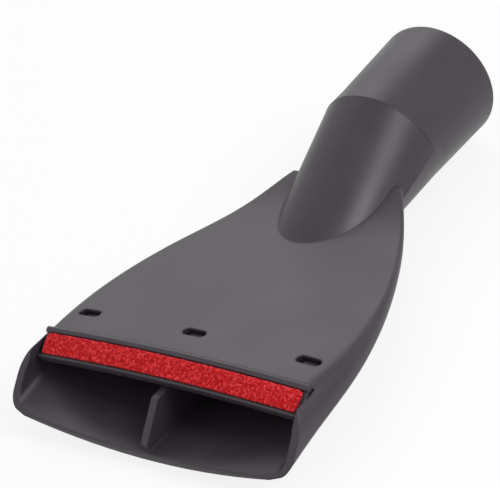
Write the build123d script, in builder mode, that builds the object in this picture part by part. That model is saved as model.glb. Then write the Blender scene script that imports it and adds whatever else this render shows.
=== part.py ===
"""Mattress nozzle for a round vacuum tube.

One moulded body (a fan-shaped duct with an offset neck and a round tube socket), a snap-in
carrier bar across the slanted mouth, and the strip of thread-lifting pile on that bar.

Frame: the origin is the centre of the socket rim. +Y leaves the socket along its axis, +X runs
across the mouth and +Z is up, on the side of the snap slots. "Station" means the distance from
the rim towards the mouth, along -Y.
"""

import os
from math import asin, cos, degrees, radians, sin, sqrt, tan

from build123d import *

# Tube socket
bore_diameter = 35.0
bore_depth = 30.0
rim_wall = 2.5
socket_taper = 1.0
bend_station = 36.5
rim_round = 0.8

# Neck
neck_wall = 2.5
neck_drop_angle = 25.0
neck_step = 0.06
neck_lap = 0.1
neck_sink = 0.3
neck_run_on = 8.0
neck_tip_setback = 51.0
taper_margin = 0.5

# Fan
wall = 2.2
fan_start_station = 57.0
fan_step = 0.5
shoulder_station = 140.0
mouth_width = 95.0
top_slope_angle = 5.4
top_height_at_slots = 2.1
crown_radius = 620.0
top_corner = 8.0
base_corner = 4.0
keel_depth = 20.0
lip_rise = 2.8
shoulder_lift = 6.0
lip_side_height = 14.5
edge_height = 1.5
side_swell = 2.2
side_start_station = 60.0
flow_swell = 0.95

# Mouth
lip_station = 169.0
lip_edge_height = -9.6
mouth_slant_angle = 44.0
mouth_edge_setback = 3.0
lip_corner_height = -12.6
rib_thickness = 2.2
rib_back_station = 112.0
rib_setback = 1.2
rib_rake = 10.0
rib_gap = 0.4

# Snap slots and the carrier bar
slot_station = 137.3
slot_spacing = 37.4
slot_length = 7.6
slot_width = 3.2
carrier_station = 146.9
carrier_land = 0.4
carrier_gap = 0.3
carrier_proud = 1.5
face_angle = 31.5
nose_width = 2.6
nose_round = 0.8
lower_lip_drop = 0.3
seat_depth = 1.0
lower_lip_width = 0.8
apron_height = 2.6
apron_undercut = 1.0
apron_thickness = 1.2
carrier_thickness = 2.6
tongue_width = 6.6
tongue_thickness = 1.8
tongue_root = 3.0
tongue_tail = 0.8
hook_drop = 1.4

# Thread-lifting strip
strip_width = 6.2
strip_thickness = 1.3
strip_crown = 0.25
strip_end_gap = 1.2
strip_clearance = 0.1
glue_line = 0.05

# Sizes that follow from the ones above
rim_radius = bore_diameter / 2 + rim_wall
neck_radius = rim_radius - socket_taper
neck_bore_radius = neck_radius - neck_wall
taper_end_station = bend_station - neck_radius * tan(radians(neck_drop_angle / 2)) - taper_margin
neck_end_station = fan_start_station + neck_run_on
neck_tip_station = slot_station - neck_tip_setback
neck_reach = (neck_tip_station + neck_run_on - bend_station) / cos(radians(neck_drop_angle))
half_mouth = mouth_width / 2
pocket_half = half_mouth - wall - carrier_land
carrier_half = pocket_half - carrier_gap
seat_width = strip_width + 2 * strip_clearance
face_length = nose_width + seat_width + lower_lip_width
far = 3 * lip_station
bend = Vector(0, -bend_station, 0)
crown_axis = Axis((0, 0, -crown_radius), (0, 1, 0))


def top_height(station):
    """Height of the flat top face on the centre line."""
    return top_height_at_slots + (station - slot_station) * tan(radians(top_slope_angle))


def fan_top(station):
    """Top of the fan on the centre line: flat, but lifted beside the neck to meet the tube's side."""
    share = max(0.0, 1 - (station - fan_start_station) / (neck_tip_station - fan_start_station))
    return top_height(station) + shoulder_lift * share**2


def half_width(station):
    """Half the outer width of the fan: it leaves the neck steeply and flattens at the shoulder."""
    start = neck_radius + fan_step
    share = min(1.0, (station - fan_start_station) / (shoulder_station - fan_start_station))
    return start + (half_mouth - start) * sin(radians(90 * share)) ** flow_swell


def keel_height(station):
    """Height of the underside on the centre line, which rises towards the lip."""
    rise = max(0.0, (station - rib_back_station) / (lip_station - rib_back_station))
    return -keel_depth + lip_rise * rise**1.5 + (keel_depth - neck_radius - fan_step) * (
        1 - min(1.0, (station - fan_start_station) / (rib_back_station - fan_start_station))
    )


def side_height(station):
    """Height of a side wall: a thin edge beside the neck that grows into the tall cheek at the lip."""
    share = max(0.0, (station - side_start_station) / (lip_station - side_start_station))
    return edge_height + (lip_side_height - edge_height) * share**side_swell


def fan_section(station, inset):
    """Closed section of the fan at a station, drawn inset from the outer surface."""
    half = half_width(station) - inset
    top = fan_top(station) - inset
    keel = keel_height(station) + inset
    edge = crown_radius + top
    corner = sqrt(edge**2 - half**2) - crown_radius
    side = max(edge_height, side_height(station) - inset)
    base = corner - side
    with BuildSketch(Plane.XZ.offset(station)) as section:
        with BuildLine():
            ThreePointArc((-half, corner), (0, top), (half, corner))
            Line((half, corner), (half, base))
            ThreePointArc((half, base), (0, keel), (-half, base))
            Line((-half, base), (-half, corner))
        make_face()
        low_to_high = section.vertices().group_by(Axis.Y)
        fillet(low_to_high[-1], min(top_corner - inset, side * 0.7))
        fillet(section.vertices().group_by(Axis.Y)[0], min(base_corner - inset * 0.5, side * 0.25))
    return section.sketch


def mouth_profile_sketch(setback, bottom):
    """Everything in front of the mouth edge, seen from the side, moved back by setback."""
    slant = tan(radians(mouth_slant_angle))
    knee = lip_station - mouth_edge_setback
    with BuildSketch(Plane.YZ) as profile:
        with BuildLine():
            Polyline(
                (-(knee - far / slant) + setback, lip_edge_height + far),
                (-knee + setback, lip_edge_height),
                (-lip_station + setback, lip_corner_height),
                (-lip_station + setback, bottom),
                (-far, bottom),
                (-far, lip_edge_height + far),
                close=True,
            )
        make_face()
    return profile.sketch


def crown_plane(angle):
    """Side-view plane turned about the crown axis: x is the station, y the distance from the axis."""
    return Plane(
        origin=(0, 0, -crown_radius),
        x_dir=(0, -1, 0),
        z_dir=(-cos(radians(angle)), 0, sin(radians(angle))),
    )


fan_stations = [fan_start_station + step * (lip_station - fan_start_station) / 10 for step in range(11)]

# Wedge in front of the bend: both round tubes are trimmed to it, so they meet in a mitre
mitre = radians(neck_drop_angle / 2)
with BuildPart() as bend_wedge:
    with BuildSketch(Plane.YZ):
        with BuildLine():
            Polyline(
                (bend.Y, 0),
                (bend.Y - far * sin(mitre), far * cos(mitre)),
                (bend.Y - far * cos(mitre) - far * sin(mitre), far * cos(mitre) - far * sin(mitre)),
                (bend.Y - far * cos(mitre), -far * sin(mitre)),
                close=True,
            )
        make_face()
    extrude(amount=far, both=True)

neck_direction = Vector(0, -cos(radians(neck_drop_angle)), -sin(radians(neck_drop_angle)))
neck_plane = Plane(origin=bend, x_dir=(1, 0, 0), z_dir=neck_direction)


along_mitre = Vector(0, cos(mitre), sin(mitre))
above_mitre = Vector(0, -sin(mitre), cos(mitre))
neck_room = bend_wedge.part.moved(Location(along_mitre * neck_lap - above_mitre * neck_sink))


def neck_tube(radius):
    """Round neck in front of the bend, which laps a little into the socket behind the mitre."""
    with BuildPart() as tube:
        with BuildSketch(neck_plane):
            Circle(radius)
        extrude(amount=neck_reach)
        with BuildSketch(neck_plane):
            Circle(radius)
        extrude(amount=-2 * radius)
        add(neck_room, mode=Mode.INTERSECT)
    return tube.part


outer_neck = neck_tube(neck_radius - neck_step)
inner_neck = neck_tube(neck_bore_radius - neck_step)
outer_sections = [fan_section(station, 0) for station in fan_stations]
inner_stations = [fan_start_station + wall] + fan_stations[1:] + [lip_station + wall]
inner_sections = [fan_section(station, wall) for station in inner_stations]
rib_sections = [fan_section(station, wall / 2) for station in fan_stations[4:]]
cap_sections = [fan_section(station, -carrier_proud) for station in fan_stations[6:]]
mouth_opening = mouth_profile_sketch(0, -far)
rib_opening = mouth_profile_sketch(rib_setback, -far)

# Outer form of the socket, with its lower half run on under the neck
with BuildPart() as socket:
    with BuildSketch(Plane.YZ) as socket_profile:
        with BuildLine():
            Polyline(
                (0, 0),
                (0, rim_radius),
                (-taper_end_station, neck_radius),
                (-neck_end_station, neck_radius),
                (-neck_end_station, 0),
                close=True,
            )
        make_face()
        fillet(socket_profile.vertices().sort_by(Axis.Y)[-1:], rim_round)
    revolve(axis=Axis.Y)
    add(bend_wedge.part, mode=Mode.SUBTRACT)

# Outer form of the fan
with BuildPart() as fan:
    loft(outer_sections)

# Air passage: tube bore, neck and the inside of the fan
with BuildPart() as passage:
    with BuildSketch(Plane.YZ):
        with BuildLine():
            Polyline(
                (0, 0),
                (0, bore_diameter / 2),
                (-bore_depth, bore_diameter / 2),
                (-bore_depth, neck_bore_radius),
                (-neck_end_station, neck_bore_radius),
                (-neck_end_station, 0),
                close=True,
            )
        make_face()
    revolve(axis=Axis.Y)
    add(bend_wedge.part, mode=Mode.SUBTRACT)
    add(inner_neck)
    loft(inner_sections)

# Side view of the carrier: "along" runs down its slanted face, "out" stands off the face
nose_height = top_height(carrier_station) + carrier_proud
slope = radians(face_angle)
lip_fall = face_length * sin(slope) + lower_lip_drop * cos(slope)
apron_foot = nose_height - lip_fall - apron_height
apron_station = carrier_station + face_length * cos(slope) - lower_lip_drop * sin(slope) - apron_undercut
rib_top = apron_foot - rib_gap


def on_face(along, out):
    """Point of the carrier's side view in the crown plane's own coordinates."""
    station = carrier_station + along * cos(slope) + out * sin(slope)
    return (station, crown_radius + nose_height - along * sin(slope) + out * cos(slope))


def crown_angle(across):
    """Turn about the crown axis that carries the centre line out to a distance across the mouth."""
    return degrees(asin(across / (crown_radius + nose_height)))


# Centre rib, kept clear of the carrier and its middle tongue
rib_step_station = slot_station - slot_width / 2 - tongue_tail - rib_gap
with BuildPart() as rib:
    loft(rib_sections)
    with BuildSketch(Plane.YZ):
        with BuildLine():
            Polyline(
                (-rib_back_station, -far),
                (-rib_back_station, -keel_depth),
                (-rib_back_station - rib_rake, top_height(rib_back_station)),
                (-rib_back_station - rib_rake, far),
                (-rib_step_station, far),
                (-rib_step_station, rib_top),
                (-far, rib_top),
                (-far, -far),
                close=True,
            )
        make_face()
    extrude(amount=rib_thickness / 2, both=True, mode=Mode.INTERSECT)
    extrude(rib_opening, amount=far, both=True, mode=Mode.SUBTRACT)

# Moulded body
with BuildPart() as nozzle_body:
    add(fan.part)
    add(socket.part)
    add(outer_neck)
    add(passage.part, mode=Mode.SUBTRACT)
    add(rib.part)
    extrude(mouth_opening, amount=far, both=True, mode=Mode.SUBTRACT)
    with BuildSketch(Plane.YZ):
        with BuildLine():
            Polyline(
                (-carrier_station + carrier_gap, rib_top),
                (-carrier_station + carrier_gap, far),
                (-far, far),
                (-far, rib_top),
                close=True,
            )
        make_face()
    extrude(amount=pocket_half, both=True, mode=Mode.SUBTRACT)
    with BuildSketch(Plane.XY.offset(rib_top + rib_gap)):
        with Locations(*[(place * slot_spacing, -slot_station) for place in (-1, 0, 1)]):
            SlotOverall(slot_length, slot_width)
    extrude(amount=far, mode=Mode.SUBTRACT)

# Snap-in carrier bar with three hooked tongues
with BuildPart() as lifter_carrier:
    with BuildSketch(crown_plane(-crown_angle(carrier_half))) as bar_profile:
        with BuildLine():
            Polyline(
                on_face(0, 0),
                on_face(nose_width, 0),
                on_face(nose_width, -seat_depth),
                on_face(nose_width + seat_width, -seat_depth),
                on_face(nose_width + seat_width, -lower_lip_drop),
                on_face(face_length, -lower_lip_drop),
                (apron_station, crown_radius + apron_foot),
                (apron_station - apron_thickness, crown_radius + apron_foot),
                on_face(nose_width + seat_width * 0.75, -carrier_thickness),
                on_face(carrier_thickness * tan(slope), -carrier_thickness),
                close=True,
            )
        make_face()
        fillet(bar_profile.vertices().sort_by(Axis.Y)[-2:], nose_round)
    revolve(axis=crown_axis, revolution_arc=2 * crown_angle(carrier_half))
    for place in (-1, 0, 1):
        tail_end = slot_station - slot_width / 2 - tongue_tail
        hook_back = slot_station - slot_width / 2 + carrier_gap
        hook_front = slot_station + slot_width / 2 - carrier_gap
        root = carrier_station + tongue_root
        ceiling = crown_radius - wall - carrier_gap
        with BuildSketch(crown_plane(place * crown_angle(slot_spacing))):
            with BuildLine():
                Polyline(
                    (tail_end, ceiling + top_height(tail_end) - tongue_thickness),
                    (tail_end, ceiling + top_height(tail_end)),
                    (root, ceiling + top_height(root)),
                    (root, ceiling + top_height(root) - tongue_thickness),
                    close=True,
                )
            make_face()
        extrude(amount=tongue_width / 2, both=True)
        with BuildSketch(crown_plane(place * crown_angle(slot_spacing))):
            with BuildLine():
                Polyline(
                    (hook_back, ceiling + top_height(hook_back) - tongue_thickness / 2),
                    (hook_back, crown_radius + top_height(hook_back) - hook_drop),
                    (hook_front, crown_radius + top_height(hook_front) - hook_drop),
                    (hook_front, ceiling + top_height(hook_front) - tongue_thickness / 2),
                    close=True,
                )
            make_face()
        extrude(amount=(slot_length - slot_width) / 2, both=True)
    loft(cap_sections, mode=Mode.INTERSECT)

# Strip of thread-lifting pile, glued into the carrier's seat
with BuildPart() as lifter_strip:
    strip_half = carrier_half - strip_end_gap
    near_edge = nose_width + strip_clearance
    with BuildSketch(crown_plane(-crown_angle(strip_half))):
        with BuildLine():
            Polyline(
                on_face(near_edge, glue_line - seat_depth + strip_thickness),
                on_face(near_edge, glue_line - seat_depth),
                on_face(near_edge + strip_width, glue_line - seat_depth),
                on_face(near_edge + strip_width, glue_line - seat_depth + strip_thickness),
            )
            ThreePointArc(
                on_face(near_edge + strip_width, glue_line - seat_depth + strip_thickness),
                on_face(near_edge + strip_width / 2, glue_line - seat_depth + strip_thickness + strip_crown),
                on_face(near_edge, glue_line - seat_depth + strip_thickness),
            )
        make_face()
    revolve(axis=crown_axis, revolution_arc=2 * crown_angle(strip_half))

nozzle_body.part.label = "nozzle_body"
lifter_carrier.part.label = "lifter_carrier"
lifter_strip.part.label = "lifter_strip"
os.makedirs("parts", exist_ok=True)
export_step(nozzle_body.part, "parts/nozzle_body.step")
export_step(lifter_carrier.part, "parts/lifter_carrier.step")
export_step(lifter_strip.part, "parts/lifter_strip.step")
for piece in (nozzle_body.part, lifter_carrier.part, lifter_strip.part):
    box = piece.bounding_box()
    print(piece.label, round(piece.volume), len(piece.solids()), box.min, box.max)
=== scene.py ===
"""Looks of the mattress nozzle: moulded plastic, velour strip, white studio, the photograph's view."""

import math
import random

import bpy
from mathutils import Matrix, Vector


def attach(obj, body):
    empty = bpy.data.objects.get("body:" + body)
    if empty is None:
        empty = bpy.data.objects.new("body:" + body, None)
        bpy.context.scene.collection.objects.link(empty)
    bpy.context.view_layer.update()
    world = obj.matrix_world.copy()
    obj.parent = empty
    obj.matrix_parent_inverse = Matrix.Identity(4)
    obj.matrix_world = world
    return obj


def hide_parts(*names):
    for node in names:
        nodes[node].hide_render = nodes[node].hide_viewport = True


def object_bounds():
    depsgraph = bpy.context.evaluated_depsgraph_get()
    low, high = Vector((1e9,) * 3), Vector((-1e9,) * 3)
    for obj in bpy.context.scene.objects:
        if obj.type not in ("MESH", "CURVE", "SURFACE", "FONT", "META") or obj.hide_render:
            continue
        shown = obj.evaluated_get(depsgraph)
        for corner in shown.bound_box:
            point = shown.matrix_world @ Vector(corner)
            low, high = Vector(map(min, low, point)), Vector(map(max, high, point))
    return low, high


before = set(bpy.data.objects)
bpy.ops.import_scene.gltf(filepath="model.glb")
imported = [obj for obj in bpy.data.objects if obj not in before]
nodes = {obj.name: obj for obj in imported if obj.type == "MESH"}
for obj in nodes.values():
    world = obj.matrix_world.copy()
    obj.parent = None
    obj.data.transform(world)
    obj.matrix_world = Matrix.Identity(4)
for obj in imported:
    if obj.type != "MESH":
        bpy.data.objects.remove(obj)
cad_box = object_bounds()
MM = 0.001

# Materials: noise scales are per metre, bump heights and the edge radius in metres
FLOW_SCALE, RIPPLE_SCALE, GRAIN_SCALE, TUFT_SCALE = 45.0, 160.0, 2600.0, 1250.0
RIPPLE_HEIGHT, GRAIN_HEIGHT, TUFT_HEIGHT = 0.12 * MM, 0.06 * MM, 0.3 * MM
RIPPLE_STRENGTH, TUFT_STRENGTH = 0.05, 0.6
EDGE_RADIUS, EDGE_SAMPLES = 0.9 * MM, 6
PLASTIC_SPECULAR, VELOUR_SPECULAR = 0.36, 0.2
NOISE_LOW, NOISE_HIGH = 0.3, 0.7
FLOW_DARK, FLOW_LIGHT = 0.32, 0.68
# Velour red by tuft height: the darker gaps are painted shade, the pink-red tips a painted highlight
VELOUR_RED_AND_PAINTED_LIGHT_STOPS = [
    (0.32, (0.32, 0.003, 0.007)),
    (0.50, (0.52, 0.008, 0.013)),
    (0.70, (0.88, 0.08, 0.08)),
]


def new_material(name):
    """New material with its node tree and Principled shader."""
    material = bpy.data.materials.new(name)
    material.use_nodes = True
    tree = material.node_tree
    return material, tree, tree.nodes["Principled BSDF"]


def object_coordinates(tree):
    return tree.nodes.new("ShaderNodeTexCoord").outputs["Object"]


def noise(tree, coordinates, scale, detail=2.0, roughness=0.5):
    node = tree.nodes.new("ShaderNodeTexNoise")
    node.inputs["Scale"].default_value = scale
    node.inputs["Detail"].default_value = detail
    node.inputs["Roughness"].default_value = roughness
    tree.links.new(coordinates, node.inputs["Vector"])
    return node.outputs["Fac"]


def ramp(tree, factor, stops):
    node = tree.nodes.new("ShaderNodeValToRGB")
    elements = node.color_ramp.elements
    while len(elements) < len(stops):
        elements.new(0.5)
    for element, (position, colour) in zip(elements, stops):
        element.position = position
        element.color = (*colour, 1.0)
    tree.links.new(factor, node.inputs["Fac"])
    return node.outputs["Color"]


def spread(tree, factor, low, high):
    """Map the middle range of a noise onto low to high."""
    node = tree.nodes.new("ShaderNodeMapRange")
    node.inputs["From Min"].default_value = NOISE_LOW
    node.inputs["From Max"].default_value = NOISE_HIGH
    node.inputs["To Min"].default_value = low
    node.inputs["To Max"].default_value = high
    tree.links.new(factor, node.inputs["Value"])
    return node.outputs["Result"]


def bump(tree, height, distance, strength, normal=None):
    node = tree.nodes.new("ShaderNodeBump")
    node.inputs["Distance"].default_value = distance
    node.inputs["Strength"].default_value = strength
    tree.links.new(height, node.inputs["Height"])
    if normal is not None:
        tree.links.new(normal, node.inputs["Normal"])
    return node.outputs["Normal"]


def moulded_plastic(name, dark, light, rough_low, rough_high, grain_strength):
    """Satin moulded plastic: fine grain, faint flow marks, a slow drift in gloss and softened edges."""
    material, tree, shader = new_material(name)
    coordinates = object_coordinates(tree)
    flow = noise(tree, coordinates, FLOW_SCALE, 3.0)
    grain = noise(tree, coordinates, GRAIN_SCALE, 1.5, 0.6)
    ripple = noise(tree, coordinates, RIPPLE_SCALE)
    colour = ramp(tree, flow, [(FLOW_DARK, dark), (FLOW_LIGHT, light)])
    tree.links.new(colour, shader.inputs["Base Color"])
    tree.links.new(spread(tree, flow, rough_low, rough_high), shader.inputs["Roughness"])
    edges = tree.nodes.new("ShaderNodeBevel")
    edges.samples = EDGE_SAMPLES
    edges.inputs["Radius"].default_value = EDGE_RADIUS
    fine = bump(tree, grain, GRAIN_HEIGHT, grain_strength, edges.outputs["Normal"])
    coarse = bump(tree, ripple, RIPPLE_HEIGHT, RIPPLE_STRENGTH, fine)
    tree.links.new(coarse, shader.inputs["Normal"])
    shader.inputs["Specular IOR Level"].default_value = PLASTIC_SPECULAR
    return material


def velour(name):
    """Short red pile, its colour following tuft height: painted shade darkens the gaps between tufts and
    a painted highlight lightens the tips; the same noise bumps the pile.
    """
    material, tree, shader = new_material(name)
    coordinates = object_coordinates(tree)
    tufts = noise(tree, coordinates, TUFT_SCALE, 3.0, 0.65)
    # Base colour from the tuft noise: painted shade in the gaps, painted highlight on the tips
    tree.links.new(ramp(tree, tufts, VELOUR_RED_AND_PAINTED_LIGHT_STOPS), shader.inputs["Base Color"])
    tree.links.new(bump(tree, tufts, TUFT_HEIGHT, TUFT_STRENGTH), shader.inputs["Normal"])
    shader.inputs["Roughness"].default_value = 0.9
    shader.inputs["Specular IOR Level"].default_value = VELOUR_SPECULAR
    shader.inputs["Sheen Weight"].default_value = 0.15
    shader.inputs["Sheen Roughness"].default_value = 0.4
    shader.inputs["Sheen Tint"].default_value = (1.0, 0.30, 0.30, 1.0)
    return material


body_plastic = moulded_plastic(
    "body_plastic", (0.032, 0.024, 0.033), (0.040, 0.031, 0.042), 0.36, 0.46, 0.30
)
carrier_plastic = moulded_plastic(
    "carrier_plastic", (0.034, 0.028, 0.036), (0.042, 0.035, 0.044), 0.24, 0.31, 0.16
)
red_velour = velour("red_velour")


def dress(piece, material):
    piece.data.materials.clear()
    piece.data.materials.append(material)


dress(nodes["nozzle_body"], body_plastic)
dress(nodes["lifter_carrier"], carrier_plastic)

# Velour strip, in millimetres: its own pile mesh on the carrier's seat, which follows the mouth's crown
CROWN_RADIUS = 620.0
CARRIER_STATION = 146.9
NOSE_HEIGHT = 4.508
FACE_SLOPE = math.radians(31.5)
STRIP_NEAR, STRIP_FAR = 2.72, 8.88
STRIP_FLOOR, STRIP_TOP, STRIP_CROWN = -0.95, 0.30, 0.22
STRIP_HALF = 43.3
STRIP_CORNER, EDGE_FRAY, EDGE_DROP = 0.9, 0.16, 0.35
EDGE_START, SIDE_RISE, END_RISE = 0.25, 4, 40
LEAN_RANGE, TUFT_RANGE, SHIFT_RANGE = (-0.05, 0.09), (-0.16, 0.10), (-0.05, 0.05)
BORDER_TUFT = -0.10
ACROSS_STEPS, ALONG_STEPS = 340, 26
pile_random = random.Random(7)


def strip_point(across, along, out):
    """A point of the strip in metres: across the mouth, along the slanted face and out of it."""
    station = CARRIER_STATION + along * math.cos(FACE_SLOPE) + out * math.sin(FACE_SLOPE)
    height = NOSE_HEIGHT - along * math.sin(FACE_SLOPE) + out * math.cos(FACE_SLOPE)
    angle = math.asin(across / (CROWN_RADIUS + NOSE_HEIGHT))
    radius = CROWN_RADIUS + height
    up = radius * math.cos(angle) - CROWN_RADIUS
    return (radius * math.sin(angle) * MM, -station * MM, up * MM)


def strip_along(i, t, frays):
    """Place along the slanted face: cut edges that fray a little, with rounded corners at both ends."""
    from_end = (0.5 - abs(i / ACROSS_STEPS - 0.5)) * 2 * STRIP_HALF
    short = max(0.0, STRIP_CORNER - from_end)
    corner = STRIP_CORNER - math.sqrt(STRIP_CORNER**2 - short**2)
    near = STRIP_NEAR + corner + frays[0][i]
    far = STRIP_FAR - corner - frays[1][i]
    return near + (far - near) * t


def pile_strip():
    """Closed strip with a crowned, tufted top and soft edges."""
    vertices, faces = [], []
    frays = [
        [pile_random.uniform(0.0, EDGE_FRAY) for _ in range(ACROSS_STEPS + 1)] for _ in range(2)
    ]
    for i in range(ACROSS_STEPS + 1):
        for j in range(ALONG_STEPS + 1):
            s, t = i / ACROSS_STEPS, j / ALONG_STEPS
            from_side, from_end = min(t, 1 - t), min(s, 1 - s)
            edge = min(1.0, SIDE_RISE * from_side + EDGE_START, END_RISE * from_end + EDGE_START)
            inner = 0 < i < ACROSS_STEPS and 0 < j < ALONG_STEPS
            lean = pile_random.uniform(*LEAN_RANGE) if inner else 0.0
            tuft = pile_random.uniform(*TUFT_RANGE) if inner else BORDER_TUFT
            shift = pile_random.uniform(*SHIFT_RANGE) if inner else 0.0
            top = STRIP_TOP + STRIP_CROWN * 4 * t * (1 - t) - EDGE_DROP * (1 - edge) ** 2 + tuft
            across = (2 * s - 1) * STRIP_HALF + shift
            vertices.append(strip_point(across, strip_along(i, t, frays) + lean, top))
    top_count = len(vertices)
    for i in range(ACROSS_STEPS + 1):
        for j in range(ALONG_STEPS + 1):
            s, t = i / ACROSS_STEPS, j / ALONG_STEPS
            across = (2 * s - 1) * STRIP_HALF
            vertices.append(strip_point(across, strip_along(i, t, frays), STRIP_FLOOR))
    row = ALONG_STEPS + 1
    for i in range(ACROSS_STEPS):
        for j in range(ALONG_STEPS):
            a, b = i * row + j, i * row + j + 1
            d, c = a + row, b + row
            faces.append((a, b, c, d))
            faces.append((top_count + d, top_count + c, top_count + b, top_count + a))
    for i in range(ACROSS_STEPS):
        for j, flip in ((0, False), (ALONG_STEPS, True)):
            a, d = i * row + j, (i + 1) * row + j
            side = (a, d, top_count + d, top_count + a)
            faces.append(side[::-1] if flip else side)
    for j in range(ALONG_STEPS):
        for i, flip in ((0, True), (ACROSS_STEPS, False)):
            a, b = i * row + j, i * row + j + 1
            side = (a, b, top_count + b, top_count + a)
            faces.append(side[::-1] if flip else side)
    mesh = bpy.data.meshes.new("velour_strip")
    mesh.from_pydata(vertices, [], faces)
    mesh.polygons.foreach_set("use_smooth", [True] * len(mesh.polygons))
    mesh.update()
    strip = bpy.data.objects.new("velour_strip", mesh)
    bpy.context.scene.collection.objects.link(strip)
    return strip


strip = pile_strip()
dress(strip, red_velour)
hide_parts("lifter_strip")
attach(strip, "root")


# Floor, lamps and world: plain white for what the camera sees, at a plain level of light
def math_node(tree, operation, first, second):
    node = tree.nodes.new("ShaderNodeMath")
    node.operation = operation
    tree.links.new(first, node.inputs[0])
    if isinstance(second, float):
        node.inputs[1].default_value = second
    else:
        tree.links.new(second, node.inputs[1])
    return node.outputs["Value"]


def show_white(tree, lit, output_name, share):
    """Camera, glossy and transmission rays see white in this share; the rest see what lights the part."""
    white = tree.nodes.new("ShaderNodeEmission")
    white.inputs["Color"].default_value = (1.0, 1.0, 1.0, 1.0)
    path = tree.nodes.new("ShaderNodeLightPath").outputs
    seen = math_node(tree, "MAXIMUM", path["Is Camera Ray"], path["Is Glossy Ray"])
    seen = math_node(tree, "MAXIMUM", seen, path["Is Transmission Ray"])
    mix = tree.nodes.new("ShaderNodeMixShader")
    tree.links.new(math_node(tree, "MULTIPLY", seen, share), mix.inputs["Fac"])
    tree.links.new(lit, mix.inputs[1])
    tree.links.new(white.outputs["Emission"], mix.inputs[2])
    tree.links.new(mix.outputs["Shader"], tree.nodes[output_name].inputs["Surface"])


FLOOR_HALF = 3.0
FLOOR_WHITE = 0.84
floor_mesh = bpy.data.meshes.new("floor")
floor_height = cad_box[0][2]
floor_corners = ((-1, -1), (1, -1), (1, 1), (-1, 1))
floor_mesh.from_pydata(
    [(x * FLOOR_HALF, y * FLOOR_HALF, floor_height) for x, y in floor_corners], [], [(0, 1, 2, 3)]
)
floor = bpy.data.objects.new("floor", floor_mesh)
bpy.context.scene.collection.objects.link(floor)
floor_paint, floor_tree, floor_shader = new_material("floor_paint")
floor_shader.inputs["Base Color"].default_value = (0.92, 0.92, 0.92, 1.0)
floor_shader.inputs["Roughness"].default_value = 0.9
show_white(floor_tree, floor_shader.outputs["BSDF"], "Material Output", FLOOR_WHITE)
dress(floor, floor_paint)


def softbox(name, place, target, size, power):
    """Rectangular area lamp at place, in metres and watts, aimed at target."""
    data = bpy.data.lights.new(name, "AREA")
    data.shape = "RECTANGLE"
    data.size, data.size_y = size
    data.energy = power
    lamp = bpy.data.objects.new(name, data)
    bpy.context.scene.collection.objects.link(lamp)
    lamp.location = place
    aim = Vector(target) - Vector(place)
    lamp.rotation_euler = aim.to_track_quat("-Z", "Y").to_euler()


MIDDLE = (0.0, -0.09, 0.0)
softbox("back_softbox", (-0.48, 0.58, 0.66), MIDDLE, (0.80, 0.45), 2.4)
softbox("right_softbox", (0.75, -0.02, 0.68), MIDDLE, (0.42, 0.42), 5.2)
softbox("front_softbox", (-0.25, -1.10, 0.30), MIDDLE, (0.8, 0.5), 1.3)

world = bpy.data.worlds.new("white_studio")
bpy.context.scene.world = world
world.use_nodes = True
background = world.node_tree.nodes["Background"]
background.inputs["Color"].default_value = (1.0, 1.0, 1.0, 1.0)
background.inputs["Strength"].default_value = 0.52
show_white(world.node_tree, background.outputs["Background"], "World Output", 1.0)

# Camera at the photograph's viewing angle
camera_data = bpy.data.cameras.new("camera")
camera_data.sensor_fit = "HORIZONTAL"
camera_data.sensor_width = 36.0
camera_data.lens = 144.0
camera_data.clip_start = 0.05
camera_data.clip_end = 20.0
camera = bpy.data.objects.new("camera", camera_data)
bpy.context.scene.collection.objects.link(camera)
camera_right = Vector((0.8113, 0.5392, -0.2256))
camera_up = Vector((-0.1483, 0.5632, 0.8129))
camera_back = Vector((0.5654, -0.6260, 0.5369))
camera_place = Vector((0.3168, -0.4566, 0.3108))
camera.matrix_world = Matrix(
    [(camera_right[k], camera_up[k], camera_back[k], camera_place[k]) for k in range(3)] + [(0, 0, 0, 1)]
)
bpy.context.scene.camera = camera
bpy.context.scene.view_settings.view_transform = "Standard"
